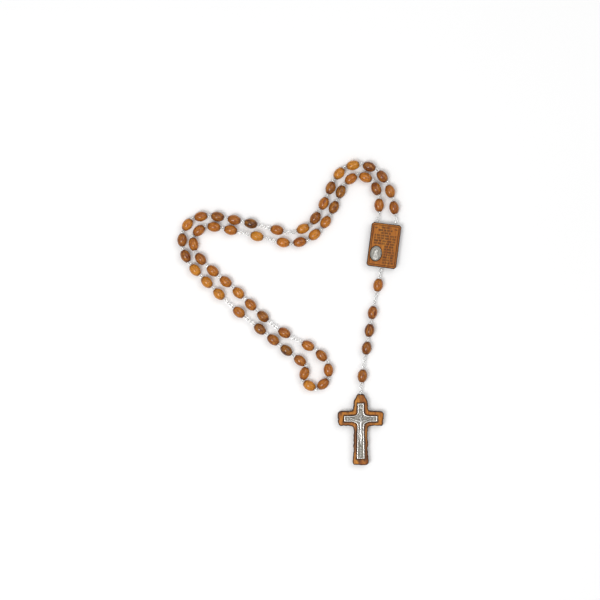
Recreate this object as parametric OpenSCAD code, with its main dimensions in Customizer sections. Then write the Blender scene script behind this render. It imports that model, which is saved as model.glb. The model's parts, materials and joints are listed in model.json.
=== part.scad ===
// Five-decade rosary of oval wooden beads on wire eye pins, laid out flat.
// A wooden tablet with a medal joins the doubled loop to a short tail with a crucifix.
// Millimetres. +Z up, the table is z = 0, +Y runs from the crucifix towards the arch of the loop.

/* [Beads] */
// Length of a bead along its hole
bead_len = 8.6; // [7:0.2:12]
// Widest diameter of a bead
bead_d = 6.6; // [5:0.2:9]
// Diameter of a bead where its side meets its end
bead_end_d = 2.8; // [2:0.1:4]
// Radius that rounds a bead's shoulders, as a distance past half its length
bead_shoulder = 0.1; // [0.05:0.05:0.4]

/* [Wire] */
// Diameter of the wire in the pins, links and screw eyes
wire_d = 0.5; // [0.4:0.05:0.7]
// Free room beside one wire inside an eye
eye_room = 0.3; // [0.26:0.02:0.6]
// Free room beside one wire across an oval link
link_room = 0.5; // [0.4:0.05:0.8]
// Outside length of an oval link
link_len = 3.3; // [3:0.1:5]
// Slack between two wires that hook into each other
link_play = 0.1; // [0.06:0.02:0.2]
// Gap between a bead's end and the eye beside it in the loop
eye_stub = 0.05; // [0.05:0.05:0.4]
// The same gap in the tail, whose pins are longer
tail_eye_stub = 0.4; // [0.05:0.05:0.8]
// Radial clearance of the wire in a bead's hole
bore_clearance = 0.1; // [0.05:0.01:0.3]

/* [Tablet] */
// Width of the tablet
tablet_w = 19.8; // [16:0.2:26]
// Height of the tablet
tablet_h = 29.2; // [24:0.2:38]
// Thickness of the tablet
tablet_t = 5.6; // [4.6:0.2:8]
// Corner radius of the tablet
tablet_r = 1.8; // [0.6:0.1:3]
// Distance between the two upper screw eyes
tablet_eye_spacing = 12; // [9:0.5:14]
// Width of the burnt border round the face
border_w = 1.2; // [0.8:0.1:2]
// Depth of the engraved line inside the border
engraving_depth = 0.3; // [0.2:0.05:0.6]
// Depth that a screw eye goes into the wood
screw_depth = 5; // [3:0.5:6]
// Diameter of a screw eye's thread
screw_d = 0.8; // [0.6:0.05:1]
// Collar of a screw eye that stands out of the wood
screw_stub = 0.2; // [0.1:0.05:0.6]

/* [Medal] */
// Width of the oval medal
medal_w = 7.6; // [6:0.1:9]
// Height of the oval medal
medal_h = 9.8; // [8:0.1:12]
// Thickness of the medal
medal_t = 1.3; // [1:0.1:2]
// Depth of the pocket that holds it
medal_pocket = 0.6; // [0.4:0.1:1]
// Clearance round the medal in its pocket
medal_clearance = 0.05; // [0.03:0.01:0.15]
// Width of the medal's raised rim
medal_rim = 0.6; // [0.4:0.1:1]
// Depth of the sunk field inside the rim
medal_field = 0.5; // [0.2:0.05:0.7]

/* [Cross] */
// Width across the arms
cross_w = 30.8; // [26:0.2:40]
// Height of the cross
cross_h = 47.4; // [42:0.2:58]
// Thickness of the wood
cross_t = 5.6; // [4.6:0.2:8]
// Width of the upright at the crossing
upright_w = 10; // [8:0.2:12]
// Width of the upright at its foot
foot_w = 11.4; // [9:0.2:13]
// Height of the arms
arm_h = 10.4; // [8:0.2:12]
// Distance from the top of the cross to the middle of the arms
arm_drop = 16.4; // [15:0.2:20]
// Width of the knob at the top
knob_w = 5.4; // [4:0.2:7]
// Length of the knob at the top
knob_h = 3.6; // [2.4:0.2:5]
// Corner radius at the ends of the wood
cross_r = 2; // [0.6:0.1:3]

/* [Crucifix] */
// Width across the metal cross
plate_w = 21.8; // [18:0.2:26]
// Height of the metal cross
plate_h = 36.4; // [32:0.2:40]
// Thickness of the metal cross
plate_t = 1.2; // [0.8:0.1:1.8]
// Height of its arms
plate_arm_h = 3.7; // [3:0.1:5]
// Width of its upright at the top
plate_top_w = 4; // [3:0.1:5]
// Width of its upright at the foot
plate_foot_w = 5; // [3.4:0.1:6]
// Distance from the top of the wood to the top of the metal
plate_drop = 6.3; // [5:0.1:8]
// How far its crossing flares along the arms
plate_flare_w = 3.2; // [1:0.2:5]
// How far its crossing flares along the upright
plate_flare_h = 2.4; // [1:0.2:4]
// Width of its raised border
plate_rim = 0.6; // [0.4:0.05:0.9]
// Depth of the sunk field inside the border
plate_field = 0.35; // [0.2:0.05:0.6]
// Depth of the bed cut for it in the wood
plate_bed = 0.4; // [0.2:0.1:0.8]
// Clearance round it in its bed
plate_clearance = 0.05; // [0.03:0.01:0.15]
// Height of the figure
corpus_h = 21; // [18:0.5:24]
// Span of the figure's arms
corpus_span = 16; // [13:0.5:18]

/* [Layout] */
// Turn of the tablet on the table, in degrees
tablet_turn = -7.5; // [-15:0.5:15]
// Least gap between the beads of the two strands of the loop
side_gap = 0.4; // [0.3:0.1:2]

/* [Hidden] */
$fn = 48;

wood = "peru";
bead_colour = "sienna";
metal = "silver";

// Wire sizes: everything that hooks together is tied to the wire and one play value
wire_r = wire_d / 2;
eye_r = (2 * wire_d + eye_room) / 2;
link_r = (2 * wire_d + link_room) / 2;
link_pitch = link_len - wire_d;
hook = wire_d + link_play;
bore_r = wire_r + bore_clearance;
strand_z = bead_d / 2;

// Kinds of element along a strand
LINK = 0;
HAIL_MARY = 1;
OUR_FATHER = 2;

// An element is [kind, its first ring lies flat, its last ring lies flat, gap beside its bead]
hanger = [[LINK, true, true], [LINK, false, false]];
chain = [[LINK, true, true], [LINK, false, false], [LINK, true, true]];
threaded = [HAIL_MARY, true, false, eye_stub];
after_chain = [HAIL_MARY, false, false, eye_stub];
our_father = [OUR_FATHER, false, false, eye_stub];
function beads(first, count) = [for (i = [1 : count]) i == 1 ? first : threaded];

decade = 10;
half_decade = 5;
strand = concat(
    hanger, beads(threaded, decade), chain, [our_father],
    chain, beads(after_chain, decade), chain, [our_father],
    chain, beads(after_chain, half_decade - 1)
);
tail_first = [OUR_FATHER, true, false, tail_eye_stub];
tail_middle = [[HAIL_MARY, false, false, tail_eye_stub], [HAIL_MARY, true, false, tail_eye_stub]];
tail_last = [OUR_FATHER, false, false, tail_eye_stub];
tail = concat(
    hanger, [tail_first], chain, [tail_middle[0], tail_middle[1], tail_middle[1]],
    chain, [tail_last], hanger
);

function pin_len(e) = bead_len + 2 * (e[3] + wire_r) + 4 * eye_r;
function chord(e) = (e[0] == LINK ? link_pitch : pin_len(e)) - (e[1] ? hook : 0) - (e[2] ? hook : 0);
function total(list, i = 0) = i < len(list) ? list[i] + total(list, i + 1) : 0;
function turned(v, a) = [v.x * cos(a) - v.y * sin(a), v.x * sin(a) + v.y * cos(a)];
function heading(v) = atan2(v.y, v.x);

// Where the tablet lies, and where its screw eyes hold the wire
tablet_at = [62.5, 44.4];
eye_out = tablet_h / 2 + screw_stub + wire_r + 2 * eye_r;
function on_tablet(v) = tablet_at + turned(v, tablet_turn);
left_start = on_tablet([-tablet_eye_spacing / 2, eye_out]);
right_start = on_tablet([tablet_eye_spacing / 2, eye_out]);
tail_start = on_tablet([0, -eye_out]);
top_middle = on_tablet([0, eye_out]);

// Middle line of the doubled loop from the top of the tablet: x, y and the
// extra room on each side of it beyond what the beads need
loop_route = [
    [0, 8, 1.5], [-2, 20, 0.4], [-6, 28, 0], [-12.5, 33, 0], [-21.5, 34, 0], [-29, 30, 0.2],
    [-32.5, 23.5, 0.1], [-36, 14.5, 0.1], [-41, 4.5, 0.1], [-48, -5.5, 0], [-57, -10.5, 0.4],
    [-66, -11, 0.2], [-78, -8, 0.1], [-94.5, -4, 0.1], [-106, -1.5, 0], [-118, 0.5, 0],
    [-127, -2, 0], [-131.5, -12, 0], [-128.5, -22.5, 0.1], [-122, -30.5, 0.3], [-114.5, -37.5, 0.6],
    [-105.5, -45.5, 1.2], [-96.5, -54, 1.2], [-83.5, -65.5, 0.3], [-71, -75.5, 0.4],
    [-60.5, -82.5, 1.5], [-50.5, -88.5, 2.4], [-44, -95, 2.4], [-43, -101.5, 2], [-51, -106.5, 2]
];
route_steps = 8;
function knot(list, i) = list[min(max(i, 0), len(list) - 1)];
function smooth(a, b, c, d, t) =
    0.5 * (2 * b + (c - a) * t + (2 * a - 5 * b + 4 * c - d) * t * t + (3 * b - a - 3 * c + d) * t * t * t);
function slope(a, b, c, d, t) =
    0.5 * ((c - a) + 2 * (2 * a - 5 * b + 4 * c - d) * t + 3 * (3 * b - a - 3 * c + d) * t * t);
function span(list, f, i, t) = f == 0
    ? smooth(knot(list, i - 1), list[i], knot(list, i + 1), knot(list, i + 2), t)
    : slope(knot(list, i - 1), list[i], knot(list, i + 1), knot(list, i + 2), t);

// The route's samples, each [x, y, extra room, direction x, direction y]
loop_samples = [
    for (i = [0 : len(loop_route) - 2])
        for (j = [0 : route_steps - 1])
            let (t = j / route_steps, p = span(loop_route, 0, i, t), v = span(loop_route, 1, i, t))
                [p.x, p.y, p.z, v.x / norm([v.x, v.y]), v.y / norm([v.x, v.y])]
];
function path_length(list) =
    total([for (i = [1 : len(list) - 1]) norm([list[i].x - list[i - 1].x, list[i].y - list[i - 1].y])]);

// The route grows with the strand, so that other bead sizes still close the loop
strand_len = total([for (e = strand) chord(e)]);
hairpin_len = 1;
loop_scale = (strand_len + hairpin_len) / path_length(loop_samples);
half_gap = (bead_d + side_gap) / 2;
function side_path(side) = [
    for (s = loop_samples)
        let (off = side * (half_gap + max(s.z, 0)))
            [top_middle.x + loop_scale * s.x - off * s[4], top_middle.y + loop_scale * s.y + off * s[3]]
];

// Walks a path in straight chords of the elements' own lengths
function reach(path, from, len, j) =
    j >= len(path) - 2 || norm(path[j + 1] - from) >= len ? j : reach(path, from, len, j + 1);
function crossing(a, d, from, len) =
    let (w = a - from, q = w * d, m = d * d)
        a + d * (-q + sqrt(max(q * q - m * (w * w - len * len), 0))) / m;
function walk(path, chords, from, i = 0, j = 0) = i >= len(chords)
    ? [from]
    : let (
        k = reach(path, from, chords[i], j),
        next = crossing(path[k], path[k + 1] - path[k], from, chords[i])
    ) concat([from], walk(path, chords, next, i + 1, k));
function chords_of(list) = [for (e = list) chord(e)];

left_walk = walk(concat([left_start], side_path(1)), chords_of(strand), left_start);
right_walk = walk(concat([right_start], side_path(-1)), chords_of(strand), right_start);

// The last bead of each side closes the loop: they meet where both reach
left_last = threaded;
right_last = [HAIL_MARY, true, true, eye_stub];
left_end = left_walk[len(strand)];
right_end = right_walk[len(strand)];
end_gap = right_end - left_end;
end_along = (norm(end_gap) + (chord(left_last) ^ 2 - chord(right_last) ^ 2) / norm(end_gap)) / 2;
end_across = sqrt(max(chord(left_last) ^ 2 - end_along ^ 2, 0));
end_unit = end_gap / norm(end_gap);
meeting = left_end + end_along * end_unit + end_across * [-end_unit.y, end_unit.x];

left_points = concat(left_walk, [meeting]);
right_points = concat(right_walk, [meeting]);
left_strand = concat(strand, [left_last]);
right_strand = concat(strand, [right_last]);

// The tail's route from the tablet's lower screw eye
tail_route = [[0, 0], [-1.5, -10], [-5.5, -27.5], [-9, -50], [-12, -68], [-13, -79]];
tail_scale = total(chords_of(tail)) / path_length(tail_route);
tail_points = walk([for (p = tail_route) tail_start + tail_scale * p], chords_of(tail), tail_start);
cross_at = tail_points[len(tail)];
cross_turn = 0;

// Where each stretch of the loop starts, counted in elements of the left and the right strand.
// Both strands hinge on one line there, so the closed loop folds without opening.
left_folds = [0, 4, 7, 15, 20, 25, 28, 31, 36, 41];
right_folds = [0, 5, 9, 16, 21, 28, 34, 37, 39, 41];

// Shapes that repeat

module ring(radius) {
    rotate_extrude()
        translate([radius, 0])
            circle(wire_r);
}

// An eye whose wire is centred on x and x + 2 eye_r
module eye(x, flat) {
    translate([x + eye_r, 0, 0])
        rotate([flat ? 0 : 90, 0, 0])
            ring(eye_r);
}

module wire_along_x(length) {
    rotate([0, 90, 0])
        cylinder(h = length, r = wire_r);
}

// Where an element's first ring sits ahead of the point it turns about
function lead(e) = e[1] ? -hook : 0;

module eye_pin(e) {
    translate([lead(e), 0, 0]) {
        eye(0, e[1]);
        eye(pin_len(e) - 2 * eye_r, e[2]);
        translate([2 * eye_r, 0, 0])
            wire_along_x(pin_len(e) - 4 * eye_r);
    }
}

module link_end(flat) {
    rotate([flat ? 0 : 90, 0, 0])
        rotate([0, 0, 90])
            rotate_extrude(angle = 180)
                translate([link_r, 0])
                    circle(wire_r);
}

module oval_link(e) {
    straight = link_pitch - 2 * link_r;
    side = e[1] ? [0, link_r, 0] : [0, 0, link_r];
    translate([lead(e) + link_r, 0, 0]) {
        link_end(e[1]);
        translate([straight, 0, 0])
            rotate([0, 0, 180])
                link_end(e[1]);
        for (s = [-1, 1])
            translate(s * side)
                wire_along_x(straight);
    }
}

// The side is an arc that reaches bead_end_d at the ends
bead_sag = (bead_d - bead_end_d) / 2;
bead_arc = (bead_len ^ 2 / 4 + bead_sag ^ 2) / (2 * bead_sag);

module bead(e) {
    translate([lead(e) + pin_len(e) / 2, 0, 0])
        rotate([0, 90, 0])
            rotate_extrude()
                intersection() {
                    translate([bead_d / 2 - bead_arc, 0])
                        circle(bead_arc, $fn = 96);
                    circle(bead_len / 2 + bead_shoulder, $fn = 96);
                    translate([bore_r, -bead_len / 2])
                        square([bead_d, bead_len]);
                }
}

// Puts its children on element i of a strand, along +X
module on_strand(points, i) {
    translate([points[i].x, points[i].y, strand_z])
        rotate([0, 0, heading(points[i + 1] - points[i])])
            children();
}

// Draws one kind of piece on every element of a stretch
module stretch(points, elements, first, last, pins, bodies, kinds) {
    for (i = [first : last])
        if (len([for (k = kinds) if (k == elements[i][0]) k]) > 0)
            on_strand(points, i) {
                if (pins)
                    eye_pin(elements[i]);
                if (bodies)
                    bead(elements[i]);
            }
}

module both_strands(n, pins, bodies, kinds) {
    stretch(left_points, left_strand, left_folds[n - 1], left_folds[n] - 1, pins, bodies, kinds);
    stretch(right_points, right_strand, right_folds[n - 1], right_folds[n] - 1, pins, bodies, kinds);
}

module links_between(points, elements, first, last) {
    for (i = [first : last])
        if (elements[i][0] == LINK)
            on_strand(points, i)
                oval_link(elements[i]);
}

// The loop

module loop_beads(n) {
    color(bead_colour)
        both_strands(n, false, true, [HAIL_MARY]);
}

module loop_pins(n) {
    color(metal)
        both_strands(n, true, false, [HAIL_MARY, OUR_FATHER]);
}

module loop_links(n) {
    color(metal) {
        links_between(left_points, left_strand, left_folds[n - 1], left_folds[n] - 1);
        links_between(right_points, right_strand, right_folds[n - 1], right_folds[n] - 1);
    }
}

// Our Father beads: two on the left strand, then two on the right
our_father_places = [for (i = [0 : len(strand) - 1]) if (strand[i][0] == OUR_FATHER) i];

module our_father_bead(n) {
    place = our_father_places[(n - 1) % 2];
    color(bead_colour)
        on_strand(n <= 2 ? left_points : right_points, place)
            bead(strand[place]);
}

// The tail

tail_beads = [for (i = [0 : len(tail) - 1]) if (tail[i][0] != LINK) i];
tail_links = [for (i = [0 : len(tail) - 2]) if (tail[i][0] == LINK) i];

module tail_bead(n) {
    color(bead_colour)
        on_strand(tail_points, tail_beads[n - 1])
            bead(tail[tail_beads[n - 1]]);
}

module tail_pin(n) {
    color(metal)
        on_strand(tail_points, tail_beads[n - 1])
            eye_pin(tail[tail_beads[n - 1]]);
}

module tail_link(n) {
    color(metal)
        on_strand(tail_points, tail_links[n - 1])
            oval_link(tail[tail_links[n - 1]]);
}

module cross_ring() {
    color(metal)
        on_strand(tail_points, len(tail) - 1)
            oval_link(tail[len(tail) - 1]);
}

// Tablet

module rounded_plate(w, h, r, t) {
    linear_extrude(height = t)
        rounded_outline(w, h, r);
}

module rounded_outline(w, h, r) {
    square([w - 2 * r, h], center = true);
    square([w, h - 2 * r], center = true);
    for (x = [-1, 1], y = [-1, 1])
        translate([x * (w / 2 - r), y * (h / 2 - r)])
            circle(r);
}

module in_tablet() {
    translate([tablet_at.x, tablet_at.y, 0])
        rotate([0, 0, tablet_turn])
            children();
}

// A screw eye along +Y whose collar stands on y = 0
module screw_eye(flat) {
    rotate([-90, 0, 0]) {
        translate([0, 0, -screw_depth])
            cylinder(h = screw_depth + screw_stub, d = screw_d);
        translate([0, 0, screw_stub - wire_r])
            cylinder(h = 2 * wire_r, r = wire_r);
    }
    translate([0, screw_stub + wire_r + eye_r, 0])
        rotate(flat ? [0, 0, 0] : [0, 90, 0])
            ring(eye_r);
}

module screw_hole() {
    rotate([-90, 0, 0])
        translate([0, 0, -screw_depth])
            cylinder(h = screw_depth + 1, d = screw_d);
}

// Puts its children at the tablet's three screw eyes, on the edge of the wood
module tablet_eye_places() {
    in_tablet()
        translate([0, 0, strand_z]) {
            for (s = [-1, 1])
                translate([s * tablet_eye_spacing / 2, tablet_h / 2, 0])
                    children();
            rotate([0, 0, 180])
                translate([0, tablet_h / 2, 0])
                    children();
        }
}

// The medal sits low on the left of the face, clear of the border
medal_at = [
    border_w + medal_w / 2 + 0.2 - tablet_w / 2,
    border_w + medal_h / 2 + 2.6 - tablet_h / 2
];
oval_points = 60;
module oval(w, h) {
    polygon([for (i = [1 : oval_points]) let (a = 360 * i / oval_points) [w / 2 * cos(a), h / 2 * sin(a)]]);
}

module tablet() {
    color(wood)
        difference() {
            in_tablet()
                difference() {
                    rounded_plate(tablet_w, tablet_h, tablet_r, tablet_t);
                    translate([0, 0, tablet_t - engraving_depth])
                        border_line();
                    translate([medal_at.x, medal_at.y, tablet_t - medal_pocket])
                        linear_extrude(height = medal_pocket + 1)
                            oval(medal_w + 2 * medal_clearance, medal_h + 2 * medal_clearance);
                }
            tablet_eye_places()
                screw_hole();
        }
}

// The engraved line runs just inside the border
line_w = 0.3;
module border_line() {
    linear_extrude(height = engraving_depth + 1)
        difference() {
            rounded_outline(tablet_w - 2 * border_w, tablet_h - 2 * border_w, tablet_r / 2);
            rounded_outline(
                tablet_w - 2 * (border_w + line_w), tablet_h - 2 * (border_w + line_w), tablet_r / 2
            );
        }
}

module tablet_screw_eyes() {
    color(metal)
        tablet_eye_places()
            screw_eye(false);
}

// A veiled figure in low relief, made of plain forms
module medal() {
    color(metal)
        in_tablet()
            translate([medal_at.x, medal_at.y, tablet_t - medal_pocket]) {
                linear_extrude(height = medal_t)
                    difference() {
                        oval(medal_w, medal_h);
                        oval(medal_w - 2 * medal_rim, medal_h - 2 * medal_rim);
                    }
                linear_extrude(height = medal_t - medal_field)
                    oval(medal_w - 2 * medal_rim, medal_h - 2 * medal_rim);
                linear_extrude(height = medal_t - 0.1)
                    polygon([
                        [-medal_w * 0.22, -medal_h * 0.34], [medal_w * 0.22, -medal_h * 0.34],
                        [medal_w * 0.13, medal_h * 0.12], [-medal_w * 0.13, medal_h * 0.12]
                    ]);
                translate([0, medal_h * 0.15, 0])
                    cylinder(h = medal_t, d = medal_w * 0.24);
            }
}

// Cross: its frame has the screw eye's collar at the top of the wood and +Y up

cross_eye_out = screw_stub + wire_r + 2 * eye_r;
module in_cross() {
    translate([cross_at.x, cross_at.y, 0])
        rotate([0, 0, cross_turn])
            translate([0, hook - cross_eye_out, 0])
                children();
}

module bar(x, top, w, h, r) {
    translate([x, top - h / 2])
        rounded_outline(w, h, r);
}

module cross_blank() {
    neck = knob_h * 0.75;
    linear_extrude(height = cross_t)
        bar(0, 0, knob_w, knob_h + 2 * cross_r, knob_w / 2 - 0.4);
    linear_extrude(height = cross_t)
        polygon([
            [-knob_w / 2, -knob_h / 3], [knob_w / 2, -knob_h / 3],
            [upright_w / 2, -neck - cross_r], [-upright_w / 2, -neck - cross_r]
        ]);
    linear_extrude(height = cross_t)
        bar(0, -neck, upright_w, arm_drop - neck, cross_r);
    linear_extrude(height = cross_t)
        bar(0, -arm_drop + arm_h / 2, cross_w, arm_h, cross_r);
    linear_extrude(height = cross_t)
        bar(0, foot_w - cross_h, foot_w, foot_w, cross_r);
    linear_extrude(height = cross_t)
        polygon([
            [-upright_w / 2, -arm_drop], [upright_w / 2, -arm_drop],
            [foot_w / 2, cross_r - cross_h], [-foot_w / 2, cross_r - cross_h]
        ]);
}

module plate_outline(grow) {
    top = -plate_drop + grow;
    foot = -plate_drop - plate_h - grow;
    middle = plate_arm_h / 2 + grow;
    side = plate_top_w / 2 + grow;
    translate([-plate_w / 2 - grow, -arm_drop - middle])
        square([plate_w + 2 * grow, 2 * middle]);
    polygon([
        [-side, top], [side, top],
        [plate_foot_w / 2 + grow, foot], [-plate_foot_w / 2 - grow, foot]
    ]);
    translate([0, -arm_drop])
        for (s = [-1, 1])
            polygon(both_sides([
                [side + plate_flare_w, 0], [side + plate_flare_w, s * middle],
                [side, s * (middle + plate_flare_h)]
            ]));
}

// Mirrors one side's points, so that the outline is closed and symmetric
function both_sides(side) = concat(side, [for (i = [len(side) - 1 : -1 : 0]) [-side[i].x, side[i].y]]);

plate_z = cross_t - plate_bed;
prong_d = 1;
prong_len = 2;
prong_places = [[0, -plate_drop - 2], [0, -plate_drop - plate_h + 3]];

module cross_wood() {
    color(wood)
        in_cross()
            difference() {
                cross_blank();
                translate([0, 0, plate_z])
                    linear_extrude(height = plate_bed + 1)
                        plate_outline(plate_clearance);
                for (p = prong_places)
                    translate([p.x, p.y, plate_z - prong_len])
                        cylinder(h = prong_len + 1, d = prong_d);
                translate([0, 0, strand_z])
                    screw_hole();
            }
}

module crucifix_plate() {
    color(metal)
        in_cross()
            translate([0, 0, plate_z]) {
                difference() {
                    linear_extrude(height = plate_t)
                        plate_outline(0);
                    translate([0, 0, plate_t - plate_field])
                        linear_extrude(height = plate_field + 1)
                            plate_outline(-plate_rim);
                }
                for (p = prong_places)
                    translate([p.x, p.y, -prong_len])
                        cylinder(h = prong_len + plate_field, d = prong_d);
            }
}

// The figure in plain relief; it lies in the sunk field, arms along the crossbar
figure_z = plate_z + plate_t - plate_field;
head_d = corpus_h / 8;
shoulder_y = -arm_drop - 0.6;
hand_y = -arm_drop + 0.8;
hips_y = shoulder_y - corpus_h * 0.34;
knees_y = shoulder_y - corpus_h * 0.56;
feet_y = shoulder_y - corpus_h * 0.82;

module relief(height, side) {
    linear_extrude(height = height)
        polygon(both_sides(side));
}

module corpus() {
    color(metal)
        in_cross()
            translate([0, 0, figure_z]) {
                translate([0.15, shoulder_y + head_d * 0.75, head_d / 2])
                    sphere(d = head_d);
                relief(1.7, [
                    [0.45, shoulder_y + head_d * 0.5], [0.5, shoulder_y + 0.5], [1.3, shoulder_y],
                    [1.2, shoulder_y - 2], [0.8, hips_y + 1], [1, hips_y]
                ]);
                relief(1.9, [[0.95, hips_y + 0.6], [1.3, hips_y - 0.8], [1, hips_y - 2.2]]);
                relief(1.5, [[0.95, hips_y - 1], [0.9, knees_y], [0.7, knees_y - 1.2], [0.5, feet_y]]);
                relief(0.9, [
                    [0.6, shoulder_y + 0.1], [corpus_span / 2, hand_y + 0.4],
                    [corpus_span / 2, hand_y - 0.3], [0.6, shoulder_y - 1.5]
                ]);
            }
}

// The scroll above the head is blank
scroll_h = 1.3;
module title_scroll() {
    color(metal)
        in_cross()
            translate([0, -plate_drop - plate_rim - 2.4, figure_z])
                linear_extrude(height = 0.6)
                    square([plate_top_w - 2 * plate_rim - 0.2, scroll_h], center = true);
}

module cross_screw_eye() {
    color(metal)
        in_cross()
            translate([0, 0, strand_z])
                screw_eye(true);
}

tablet();
medal();
tablet_screw_eyes();
cross_wood();
crucifix_plate();
corpus();
title_scroll();
cross_screw_eye();
cross_ring();
for (i = [1 : 9]) tail_link(i);
for (i = [1 : 5]) tail_pin(i);
for (i = [1 : 5]) tail_bead(i);
for (i = [1 : 4]) our_father_bead(i);
for (i = [1 : 9]) loop_beads(i);
for (i = [1 : 9]) loop_pins(i);
for (i = [1, 3, 4, 6, 7, 8]) loop_links(i);
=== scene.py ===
"""Rosary of lacquered olive-wood beads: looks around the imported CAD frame."""
import json
import math

import bpy
import numpy as np
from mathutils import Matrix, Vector
from mathutils.geometry import delaunay_2d_cdt


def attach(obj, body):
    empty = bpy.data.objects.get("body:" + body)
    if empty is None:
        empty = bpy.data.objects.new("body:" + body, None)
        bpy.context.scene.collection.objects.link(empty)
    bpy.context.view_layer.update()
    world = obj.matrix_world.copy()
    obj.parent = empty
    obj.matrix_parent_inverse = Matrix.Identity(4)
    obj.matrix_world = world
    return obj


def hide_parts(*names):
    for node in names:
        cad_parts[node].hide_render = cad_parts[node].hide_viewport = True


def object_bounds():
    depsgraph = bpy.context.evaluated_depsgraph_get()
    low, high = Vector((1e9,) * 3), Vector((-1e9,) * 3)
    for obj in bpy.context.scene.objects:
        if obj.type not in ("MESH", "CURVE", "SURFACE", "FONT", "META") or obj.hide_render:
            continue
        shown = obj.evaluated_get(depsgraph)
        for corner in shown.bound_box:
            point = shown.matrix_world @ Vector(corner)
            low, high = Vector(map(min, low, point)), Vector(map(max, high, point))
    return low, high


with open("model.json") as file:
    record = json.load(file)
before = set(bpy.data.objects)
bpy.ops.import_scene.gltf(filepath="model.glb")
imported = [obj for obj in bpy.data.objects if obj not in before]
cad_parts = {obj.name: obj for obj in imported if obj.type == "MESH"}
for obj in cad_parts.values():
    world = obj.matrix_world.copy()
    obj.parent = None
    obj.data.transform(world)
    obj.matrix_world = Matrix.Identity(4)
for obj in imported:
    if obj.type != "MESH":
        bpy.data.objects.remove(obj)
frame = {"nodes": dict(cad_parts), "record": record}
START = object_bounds()
MM = 0.001
RNG = np.random.default_rng(7)
BODY_OF = {n: b for b, ns in frame["record"]["behaviour"]["bodies"].items() for n in ns}


# ---------------------------------------------------------------- meshes

def new_piece(name, verts, faces, material, smooth=True, attributes=None):
    """An object in metres from vertices in millimetres, with per-vertex attributes."""
    mesh = bpy.data.meshes.new(name)
    verts = np.asarray(verts, float) * MM
    mesh.from_pydata(verts.tolist(), [], [tuple(int(i) for i in f) for f in faces])
    mesh.polygons.foreach_set("use_smooth", [smooth] * len(mesh.polygons))
    for key, values in (attributes or {}).items():
        values = np.asarray(values, np.float32)
        kind = "FLOAT_VECTOR" if values.ndim == 2 else "FLOAT"
        layer = mesh.attributes.new(key, kind, "POINT")
        layer.data.foreach_set("vector" if values.ndim == 2 else "value", values.ravel())
    mesh.materials.append(material)
    mesh.update()
    obj = bpy.data.objects.new(name, mesh)
    bpy.context.scene.collection.objects.link(obj)
    return obj


def place(obj, node, body=None):
    """Rides obj on the node's body and stands it for the node."""
    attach(obj, body or BODY_OF[node])
    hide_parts(node)
    return obj


def islands(obj):
    """The separate shells of a CAD node, each an array of its vertices in millimetres."""
    mesh = obj.data
    co = np.empty(len(mesh.vertices) * 3, np.float32)
    mesh.vertices.foreach_get("co", co)
    co = co.reshape(-1, 3) / MM
    _, merged = np.unique(np.round(co, 3), axis=0, return_inverse=True)
    merged = merged.ravel()
    edges = np.empty(len(mesh.edges) * 2, np.int32)
    mesh.edges.foreach_get("vertices", edges)
    a, b = merged[edges.reshape(-1, 2)].T
    label = np.arange(merged.max() + 1)
    while True:
        low = np.minimum(label[a], label[b])
        new = label.copy()
        np.minimum.at(new, a, low)
        np.minimum.at(new, b, low)
        new = new[new]
        if (new == label).all():
            break
        label = new
    parts = label[merged]
    return [co[parts == k] for k in np.unique(parts)]


def long_axis(points):
    """(centre, unit direction) of a long thin shell."""
    middle = (points.min(0) + points.max(0)) / 2
    spread = np.linalg.svd(points - points.mean(0), full_matrices=False)[2][0]
    return middle, spread / np.linalg.norm(spread)


def flat_frame(node, angle=None):
    """(centre, angle, width, height, low z, high z) of a flat node; its turn is that of the least box."""
    pts = np.vstack(islands(frame["nodes"][node]))
    turns = np.radians(np.arange(-15, 15.01, 0.1)) if angle is None else [angle]
    best = None
    for t in turns:
        x = pts[:, 0] * math.cos(t) + pts[:, 1] * math.sin(t)
        y = -pts[:, 0] * math.sin(t) + pts[:, 1] * math.cos(t)
        w, h = np.ptp(x), np.ptp(y)
        if best is None or w * h < best[0]:
            cx, cy = (x.min() + x.max()) / 2, (y.min() + y.max()) / 2
            centre = (cx * math.cos(t) - cy * math.sin(t), cx * math.sin(t) + cy * math.cos(t))
            best = (w * h, centre, t, w, h)
    return best[1], best[2], best[3], best[4], pts[:, 2].min(), pts[:, 2].max()


def to_world(pts, centre, angle):
    """Points in a flat piece's own frame, brought to the place where it lies."""
    pts = np.asarray(pts, float)
    c, s = math.cos(angle), math.sin(angle)
    out = np.empty_like(pts)
    out[:, 0] = centre[0] + pts[:, 0] * c - pts[:, 1] * s
    out[:, 1] = centre[1] + pts[:, 0] * s + pts[:, 1] * c
    out[:, 2] = pts[:, 2]
    return out


def rounded_rectangle(w, h, r, step=0.2):
    """Closed outline, counterclockwise, with points about step apart."""
    pts = []
    for sx, sy, a0 in ((1, -1, -90), (1, 1, 0), (-1, 1, 90), (-1, -1, 180)):
        n = max(4, int(math.pi / 2 * r / step))
        for k in range(n + 1):
            a = math.radians(a0 + 90 * k / n)
            pts.append((sx * (w / 2 - r) + r * math.cos(a), sy * (h / 2 - r) + r * math.sin(a)))
    return resample(np.array(pts), step)


def resample(poly, step):
    """The same closed line with even points."""
    closed = np.vstack([poly, poly[:1]])
    seg = np.linalg.norm(np.diff(closed, axis=0), axis=1)
    s = np.concatenate([[0], np.cumsum(seg)])
    n = int(round(s[-1] / step))
    t = np.linspace(0, s[-1], n, endpoint=False)
    return np.column_stack([np.interp(t, s, closed[:, 0]), np.interp(t, s, closed[:, 1])])


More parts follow.
